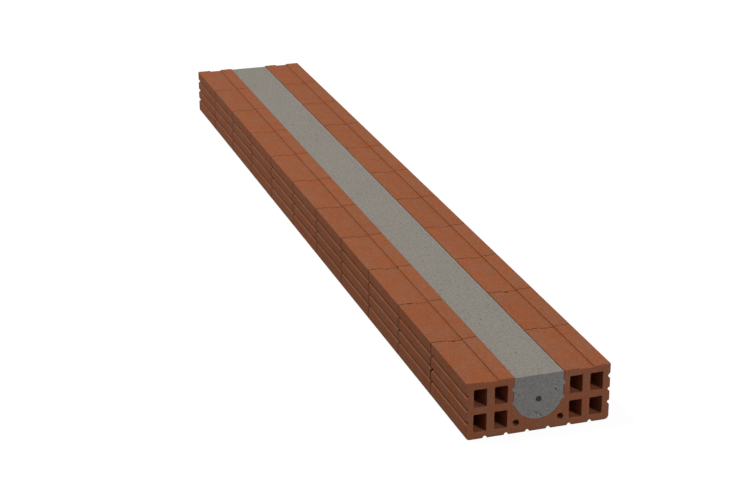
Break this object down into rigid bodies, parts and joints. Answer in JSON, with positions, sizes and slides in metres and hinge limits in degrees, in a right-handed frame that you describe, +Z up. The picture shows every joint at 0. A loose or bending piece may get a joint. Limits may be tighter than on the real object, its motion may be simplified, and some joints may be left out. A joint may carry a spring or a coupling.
{
  "type": "ceramic lintel",
  "caption": "Flat ceramic lintel of hollow fired-clay blocks on a reinforced concrete channel; it spans an opening and carries the wall above.",
  "frame": {"origin": "middle of the underside, halfway along the length and the width", "axes": "+Y along the length, +X across the width to the right when looking along +Y, +Z up out of the open side of the channel"},
  "size_m": [0.3, 2.2, 0.12],
  "materials": {
    "fired_clay": "unglazed fired clay, matt, orange-brown with fine grain",
    "concrete": "cast fine-grained concrete, matt grey with small pits",
    "steel": "sawn end of a dark reinforcing bar"
  },
  "bodies": {
    "root": {"clay_block_01": "fired_clay", "clay_block_02": "fired_clay", "clay_block_03": "fired_clay", "clay_block_04": "fired_clay", "clay_block_05": "fired_clay", "clay_block_06": "fired_clay", "clay_block_07": "fired_clay", "clay_block_08": "fired_clay", "clay_block_09": "fired_clay", "clay_block_10": "fired_clay", "clay_block_11": "fired_clay", "concrete_core": "concrete", "steel_bar": "steel"}
  },
  "joints": []
}
